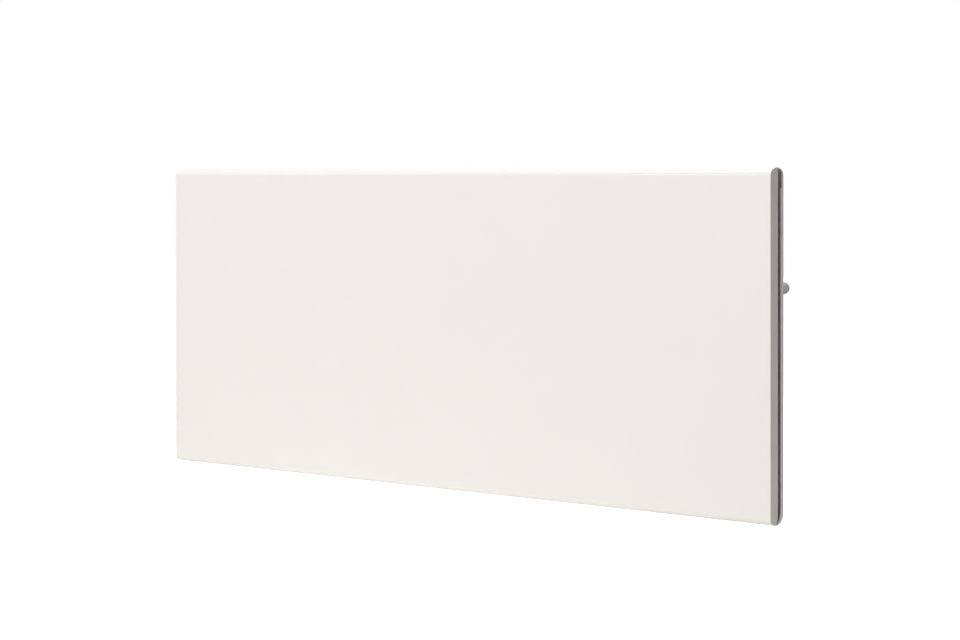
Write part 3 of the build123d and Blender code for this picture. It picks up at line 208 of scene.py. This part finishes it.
def powder_coat():
    """Satin white powder coat: fine orange peel over slow waves, faint warm drift."""
    coat = Surface("white_coat", (0.87, 0.85, 0.825), 0.42)
    drift = coat.spread(coat.noise(9), 0, 1)
    coat.vary_color(drift, (0.875, 0.853, 0.828), (0.862, 0.842, 0.818))
    coat.vary_roughness(coat.noise(60), 0.38, 0.46)
    coat.bump(coat.noise(900, detail=1), 0.000012)
    coat.bump(coat.noise(190, detail=1), 0.00002)
    coat.set("Coat Weight", 0.05)
    coat.set("Coat Roughness", 0.3)
    return coat.material


def zinc_sheet():
    """Zinc-plated steel with faint spangle and handling haze."""
    zinc = Surface("zinc_steel", (0.62, 0.63, 0.64), 0.38, 1.0)
    zinc.vary_color(zinc.spread(zinc.noise(70), 0, 1), (0.66, 0.67, 0.68), (0.54, 0.55, 0.56))
    zinc.vary_roughness(zinc.cells(260), 0.30, 0.46)
    zinc.bump(zinc.noise(1500, detail=2), 0.000008)
    return zinc.material


def drawn_steel():
    """Bright drawn steel with fine lines along its length."""
    steel = Surface("bright_steel", (0.62, 0.61, 0.60), 0.25, 1.0)
    lines = steel.noise(40, detail=4, stretch=(1, 60, 60))
    steel.vary_color(steel.spread(lines, 0, 1), (0.66, 0.65, 0.64), (0.52, 0.51, 0.50))
    steel.vary_roughness(lines, 0.20, 0.34)
    steel.bump(lines, 0.00001)
    return steel.material


def extruded_aluminium():
    """Dull extruded aluminium with die lines and a thin oxide haze."""
    metal = Surface("aluminium", (0.74, 0.75, 0.76), 0.35, 1.0)
    lines = metal.noise(30, detail=3, stretch=(0.5, 50, 50))
    haze = metal.noise(45)
    metal.vary_color(metal.spread(haze, 0, 1), (0.77, 0.78, 0.79), (0.66, 0.67, 0.68))
    metal.vary_roughness(haze, 0.30, 0.45)
    metal.bump(lines, 0.000015)
    return metal.material


def unglazed_ceramic():
    """Chalky white ceramic with a fine open grain."""
    clay = Surface("ceramic", (0.86, 0.84, 0.78), 0.72)
    grain = clay.noise(1200, detail=2)
    clay.vary_color(clay.spread(grain, 0, 1), (0.88, 0.86, 0.80), (0.80, 0.77, 0.70))
    clay.bump(grain, 0.00003)
    return clay.material


def pressed_powder():
    powder = Surface("magnesia", (0.80, 0.78, 0.72), 0.9)
    grain = powder.noise(2500, detail=3)
    powder.vary_color(powder.spread(grain, 0, 1), (0.82, 0.80, 0.74), (0.70, 0.68, 0.62))
    powder.bump(grain, 0.00005)
    return powder.material


def oxidised_wire():
    wire = Surface("resistance", (0.33, 0.31, 0.29), 0.5, 1.0)
    scale = wire.noise(400)
    wire.vary_color(wire.spread(scale, 0, 1), (0.38, 0.35, 0.32), (0.20, 0.20, 0.22))
    wire.vary_roughness(scale, 0.4, 0.6)
    return wire.material


def moulded_plastic(name, light, dark, roughness):
    """Moulded plastic: a fine spark-eroded grain and slow shading from the flow."""
    plastic = Surface(name, light, roughness)
    plastic.vary_color(plastic.spread(plastic.noise(35), 0, 1), light, dark)
    plastic.vary_roughness(plastic.noise(300), roughness - 0.05, roughness + 0.06)
    plastic.bump(plastic.noise(2200, detail=2), 0.00002)
    return plastic.material


def amber_lens():
    lens = Surface("amber_lens", (0.90, 0.32, 0.06), 0.12)
    swirl = lens.noise(700)
    lens.vary_color(lens.spread(swirl, 0, 1), (0.92, 0.36, 0.08), (0.75, 0.20, 0.03))
    lens.bump(swirl, 0.00001)
    lens.set("Transmission Weight", 0.35)
    lens.set("IOR", 1.49)
    return lens.material


def moulded_rubber():
    rubber = Surface("rubber", (0.045, 0.045, 0.045), 0.7)
    bloom = rubber.noise(240)
    rubber.vary_color(rubber.spread(bloom, 0, 1), (0.035, 0.035, 0.035), (0.075, 0.073, 0.07))
    rubber.vary_roughness(bloom, 0.6, 0.8)
    rubber.bump(rubber.noise(1800), 0.00003)
    return rubber.material


def tarnished_brass():
    brass = Surface("copper", (0.80, 0.58, 0.30), 0.3, 1.0)
    film = brass.noise(180)
    brass.vary_color(brass.spread(film, 0, 1), (0.83, 0.62, 0.33), (0.60, 0.40, 0.22))
    brass.vary_roughness(film, 0.24, 0.42)
    return brass.material


def silicone(name, light, dark):
    """The dull skin of an insulated wire, faintly banded where it was drawn."""
    skin = Surface(name, light, 0.5)
    skin.vary_color(skin.spread(skin.noise(120), 0, 1), light, dark)
    skin.bump(skin.noise(900), 0.00002)
    skin.set("Sheen Weight", 0.15)
    return skin.material


def nylon_sleeve():
    sleeve = Surface("clear_sleeve", (0.85, 0.83, 0.77), 0.35)
    cloud = sleeve.noise(300)
    sleeve.vary_color(sleeve.spread(cloud, 0, 1), (0.87, 0.85, 0.80), (0.76, 0.73, 0.65))
    sleeve.set("Transmission Weight", 0.25)
    return sleeve.material


SLOT_SURFACES = {
    "white_coat": powder_coat(),
    "zinc_steel": zinc_sheet(),
    "bright_steel": drawn_steel(),
    "aluminium": extruded_aluminium(),
    "ceramic": unglazed_ceramic(),
    "magnesia": pressed_powder(),
    "resistance": oxidised_wire(),
    "white_plastic": moulded_plastic("white_plastic", (0.90, 0.89, 0.87), (0.87, 0.86, 0.84), 0.45),
    "grey_plastic": moulded_plastic("grey_plastic", (0.54, 0.53, 0.52), (0.49, 0.48, 0.47), 0.5),
    "black_plastic": moulded_plastic(
        "black_plastic", (0.03, 0.03, 0.032), (0.045, 0.045, 0.046), 0.4
    ),
    "amber_lens": amber_lens(),
    "rubber": moulded_rubber(),
    "copper": tarnished_brass(),
    "brown_wire": silicone("brown_wire", (0.20, 0.09, 0.045), (0.15, 0.07, 0.035)),
    "blue_wire": silicone("blue_wire", (0.05, 0.14, 0.45), (0.035, 0.10, 0.36)),
    "green_wire": silicone("green_wire", (0.20, 0.42, 0.06), (0.14, 0.33, 0.05)),
    "clear_sleeve": nylon_sleeve(),
}


def dress_nodes():
    """Gives every piece of the frame its finish."""
    for part in frame["record"]["subparts"]:
        piece = frame["nodes"][part["node"]]
        for slot in piece.material_slots:
            slot.material = SLOT_SURFACES[part["material_slot"]]


# Studio

def is_seen(tree):
    """1 for rays that come straight from the camera or off gloss and glass, else 0."""
    path = tree.nodes.new("ShaderNodeLightPath")
    seen = path.outputs["Is Camera Ray"]
    for name in ("Is Glossy Ray", "Is Transmission Ray"):
        either = tree.nodes.new("ShaderNodeMath")
        either.operation = "MAXIMUM"
        tree.links.new(seen, either.inputs[0])
        tree.links.new(path.outputs[name], either.inputs[1])
        seen = either.outputs["Value"]
    return seen


def set_world():
    """White where it is seen, a soft grey where it only lights."""
    world = bpy.data.worlds.new("studio")
    bpy.context.scene.world = world
    world.use_nodes = True
    tree = world.node_tree
    ambient = tuple(AMBIENT * part for part in AMBIENT_COLOR)
    color = mix_colors(tree, is_seen(tree), ambient, (1, 1, 1))
    tree.links.new(color, tree.nodes["Background"].inputs["Color"])


def floor_material():
    """A pale matt floor, lifted to white where it is seen and not shaded."""
    surface = Surface("floor", FLOOR_COLOR, FLOOR_ROUGHNESS)
    darker = tuple(FLOOR_DRIFT * part for part in FLOOR_COLOR)
    patches = surface.spread(surface.noise(FLOOR_WAVES), 0, 1)
    surface.vary_color(patches, FLOOR_COLOR, darker)
    tree = surface.tree
    distance = tree.nodes.new("ShaderNodeVectorMath")
    distance.operation = "LENGTH"
    tree.links.new(surface.coords, distance.inputs[0])
    lift = surface.spread(distance.outputs["Value"], *FLOOR_LIFT, *FLOOR_FAR)
    level = tree.nodes.new("ShaderNodeMath")
    level.operation = "MULTIPLY"
    tree.links.new(lift, level.inputs[0])
    tree.links.new(is_seen(tree), level.inputs[1])
    glow = tree.nodes.new("ShaderNodeEmission")
    tree.links.new(level.outputs["Value"], glow.inputs["Strength"])
    both = tree.nodes.new("ShaderNodeAddShader")
    tree.links.new(surface.shader.outputs[0], both.inputs[0])
    tree.links.new(glow.outputs[0], both.inputs[1])
    tree.links.new(both.outputs[0], tree.nodes["Material Output"].inputs["Surface"])
    return surface.material


def make_floor():
    height = cad_box[0][2] - FLOOR_DROP
    mesh = bpy.data.meshes.new("floor")
    corners = [(-1, -1), (1, -1), (1, 1), (-1, 1)]
    points = [(x * FLOOR_HALF, y * FLOOR_HALF, height) for x, y in corners]
    mesh.from_pydata(points, [], [(0, 1, 2, 3)])
    mesh.materials.append(floor_material())
    floor = bpy.data.objects.new("floor", mesh)
    bpy.context.scene.collection.objects.link(floor)


def make_lights():
    """Soft boxes, all aimed at the middle of the bracket's holes."""
    for name, (place, size, power, color) in LAMPS.items():
        data = bpy.data.lights.new(name, "AREA")
        data.shape = "RECTANGLE"
        data.size, data.size_y = size
        data.energy = power
        data.color = color
        lamp = bpy.data.objects.new(name, data)
        bpy.context.scene.collection.objects.link(lamp)
        lamp.location = place
        lamp.rotation_euler = (-Vector(place)).to_track_quat("-Z", "Y").to_euler()
        lamp.visible_camera = False


def make_camera():
    data = bpy.data.cameras.new("camera")
    data.sensor_width = SENSOR_WIDTH
    data.lens = FOCAL_PIXELS / PHOTO_WIDTH * SENSOR_WIDTH
    data.shift_y = (HORIZON_ROW - PHOTO_HEIGHT / 2) / PHOTO_WIDTH
    data.clip_start = NEAR_CLIP
    camera = bpy.data.objects.new("camera", data)
    bpy.context.scene.collection.objects.link(camera)
    camera.location = CAMERA_PLACE
    camera.rotation_euler = (math.radians(90), 0, CAMERA_TURN)
    bpy.context.scene.camera = camera
    bpy.context.scene.view_settings.view_transform = "Standard"


# Pieces

def add_piece(name, bm, slot, body):
    """Makes a piece of the mesh, in a finish that the nodes already have."""
    mesh = bpy.data.meshes.new(name)
    bm.to_mesh(mesh)
    bm.free()
    mesh.materials.append(SLOT_SURFACES[slot])
    piece = bpy.data.objects.new(name, mesh)
    bpy.context.scene.collection.objects.link(piece)
    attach(piece, body)


def upright_frame(place, normal):
    """A matrix whose Z axis is a normal and whose X axis points towards the wall."""
    across = Vector((0, 1, 0))
    columns = (across, normal.cross(across), normal)
    matrix = Matrix(columns).transposed().to_4x4()
    matrix.translation = place
    return matrix


def add_words(bm, words, height, place):
    """Adds printed words, centred on a place given by a matrix."""
    curve = bpy.data.curves.new("words", "FONT")
    curve.body = words
    curve.size = height
    curve.extrude = INK_HEIGHT
    curve.align_x = "CENTER"
    curve.align_y = "CENTER"
    holder = bpy.data.objects.new("words", curve)
    print_mesh = bpy.data.meshes.new_from_object(holder)
    print_mesh.transform(place)
    bm.from_mesh(print_mesh)
    bpy.data.objects.remove(holder)
    bpy.data.meshes.remove(print_mesh)


def add_tick(bm, angle, start, end, frame_matrix):
    """A short radial line of ink, at an angle clockwise from straight up."""
    middle = Matrix.Translation((0, (start + end) / 2, 0))
    size = Matrix.Diagonal((TICK_WIDTH, end - start, 2 * INK_HEIGHT, 1))
    turn = Matrix.Rotation(-math.radians(angle), 4, "Z")
    bmesh.ops.create_cube(bm, size=1, matrix=frame_matrix @ turn @ middle @ size)


def dial_marks():
    """The plain scale round the knob: seven numbers with ticks between them."""
    bm = bmesh.new()
    centre = upright_frame(Vector((BOX_HIGH.x, KNOB_Y, KNOB_Z)), Vector((1, 0, 0)))
    low, high = DIAL_ANGLES
    for i in range(2 * DIAL_STEPS + 1):
        angle = low + (high - low) * i / (2 * DIAL_STEPS)
        tick_end = DIAL_MINOR_TICK if i % 2 else DIAL_TICKS[1]
        add_tick(bm, angle, DIAL_TICKS[0], tick_end, centre)
        if i % 2 == 0:
            turn = math.radians(angle)
            place = Vector((DIAL_NUMBERS * math.sin(turn), DIAL_NUMBERS * math.cos(turn), 0))
            add_words(bm, str(i // 2), DIGIT_HEIGHT, centre @ Matrix.Translation(place))
    add_piece("dial_marks", bm, "black_plastic", "heater")


def join_rows(bm, rows):
    """Closed skin over rows of points: faces between the rows and one over each end."""
    for first, second in zip(rows, rows[1:]):
        for j in range(len(first)):
            k = (j + 1) % len(first)
            bm.faces.new((first[j], first[k], second[k], second[j]))
    bm.faces.new(rows[0])
    bm.faces.new(rows[-1])
    bmesh.ops.recalc_face_normals(bm, faces=bm.faces)


def knob_pointer():
    """An inlaid line that runs down the knob's crown towards the set number."""
    bm = bmesh.new()
    start, end = (math.radians(angle) for angle in POINTER_ARC)
    turn = math.radians(DIAL_ANGLES[0])
    outward = Vector((0, math.sin(turn), math.cos(turn)))
    axis = Vector((1, 0, 0))
    sideways = axis.cross(outward) * POINTER_WIDTH / 2
    crown = Vector((KNOB_HIGH.x - KNOB_RADIUS, KNOB_Y, KNOB_Z))
    low, high = -INK_HEIGHT, INK_HEIGHT
    corners = ((-1, low), (-1, high), (1, high), (1, low))
    rows = []
    for i in range(POINTER_STEPS + 1):
        angle = start + (end - start) * i / POINTER_STEPS
        radial = axis * math.cos(angle) + outward * math.sin(angle)
        rows.append([
            bm.verts.new(crown + radial * (KNOB_RADIUS + height) + side * sideways)
            for side, height in corners
        ])
    join_rows(bm, rows)
    add_piece("knob_pointer", bm, "black_plastic", "knob")


def rocker_facet(upper):
    """The middle and the normal of the upper or the lower half of the rocker's face."""
    middle = (ROCKER_LOW.z + ROCKER_HIGH.z) / 2
    faces = [
        face for face in frame["nodes"]["rocker"].data.polygons
        if face.normal.x > ROCKER_FACING and (face.center.z > middle) == upper
    ]
    area = sum(face.area for face in faces)
    place = sum((face.center * face.area for face in faces), Vector()) / area
    normal = sum((face.normal * face.area for face in faces), Vector()).normalized()
    return place, normal


def rocker_marks():
    """A plain on stroke and off ring on the two halves of the rocker."""
    bm = bmesh.new()
    for words, upper in (("I", True), ("O", False)):
        add_words(bm, words, ROCKER_SIGN_HEIGHT, upright_frame(*rocker_facet(upper)))
    add_piece("rocker_marks", bm, "white_plastic", "rocker")


def label_row(bm, inset, height):
    """Points round the label, drawn in by an inset and lifted off the panel."""
    x, z = LABEL_PLACE
    corner = LABEL_CORNER - inset
    row = []
    for quarter, (sx, sz) in enumerate(((1, 1), (-1, 1), (-1, -1), (1, -1))):
        centre_x = x + sx * (LABEL_SIZE[0] / 2 - LABEL_CORNER)
        centre_z = z + sz * (LABEL_SIZE[1] / 2 - LABEL_CORNER)
        for i in range(LABEL_CORNER_STEPS + 1):
            angle = math.radians(90 * (quarter + i / LABEL_CORNER_STEPS))
            place_x = centre_x + corner * math.cos(angle)
            place_z = centre_z + corner * math.sin(angle)
            row.append(bm.verts.new((place_x, BACK_HIGH.y + height, place_z)))
    return row


def blank_label():
    """A bare foil label on the back, with a pressed rim."""
    bm = bmesh.new()
    levels = (
        (0, 0),
        (0, LABEL_SHEET),
        (LABEL_RIM, LABEL_SHEET),
        (LABEL_RIM + LABEL_RIM_EDGE, LABEL_SHEET / 2),
    )
    join_rows(bm, [label_row(bm, inset, height) for inset, height in levels])
    add_piece("blank_label", bm, "aluminium", "heater")


make_camera()
dress_nodes()
set_world()
make_floor()
make_lights()
dial_marks()
knob_pointer()
rocker_marks()
blank_label()
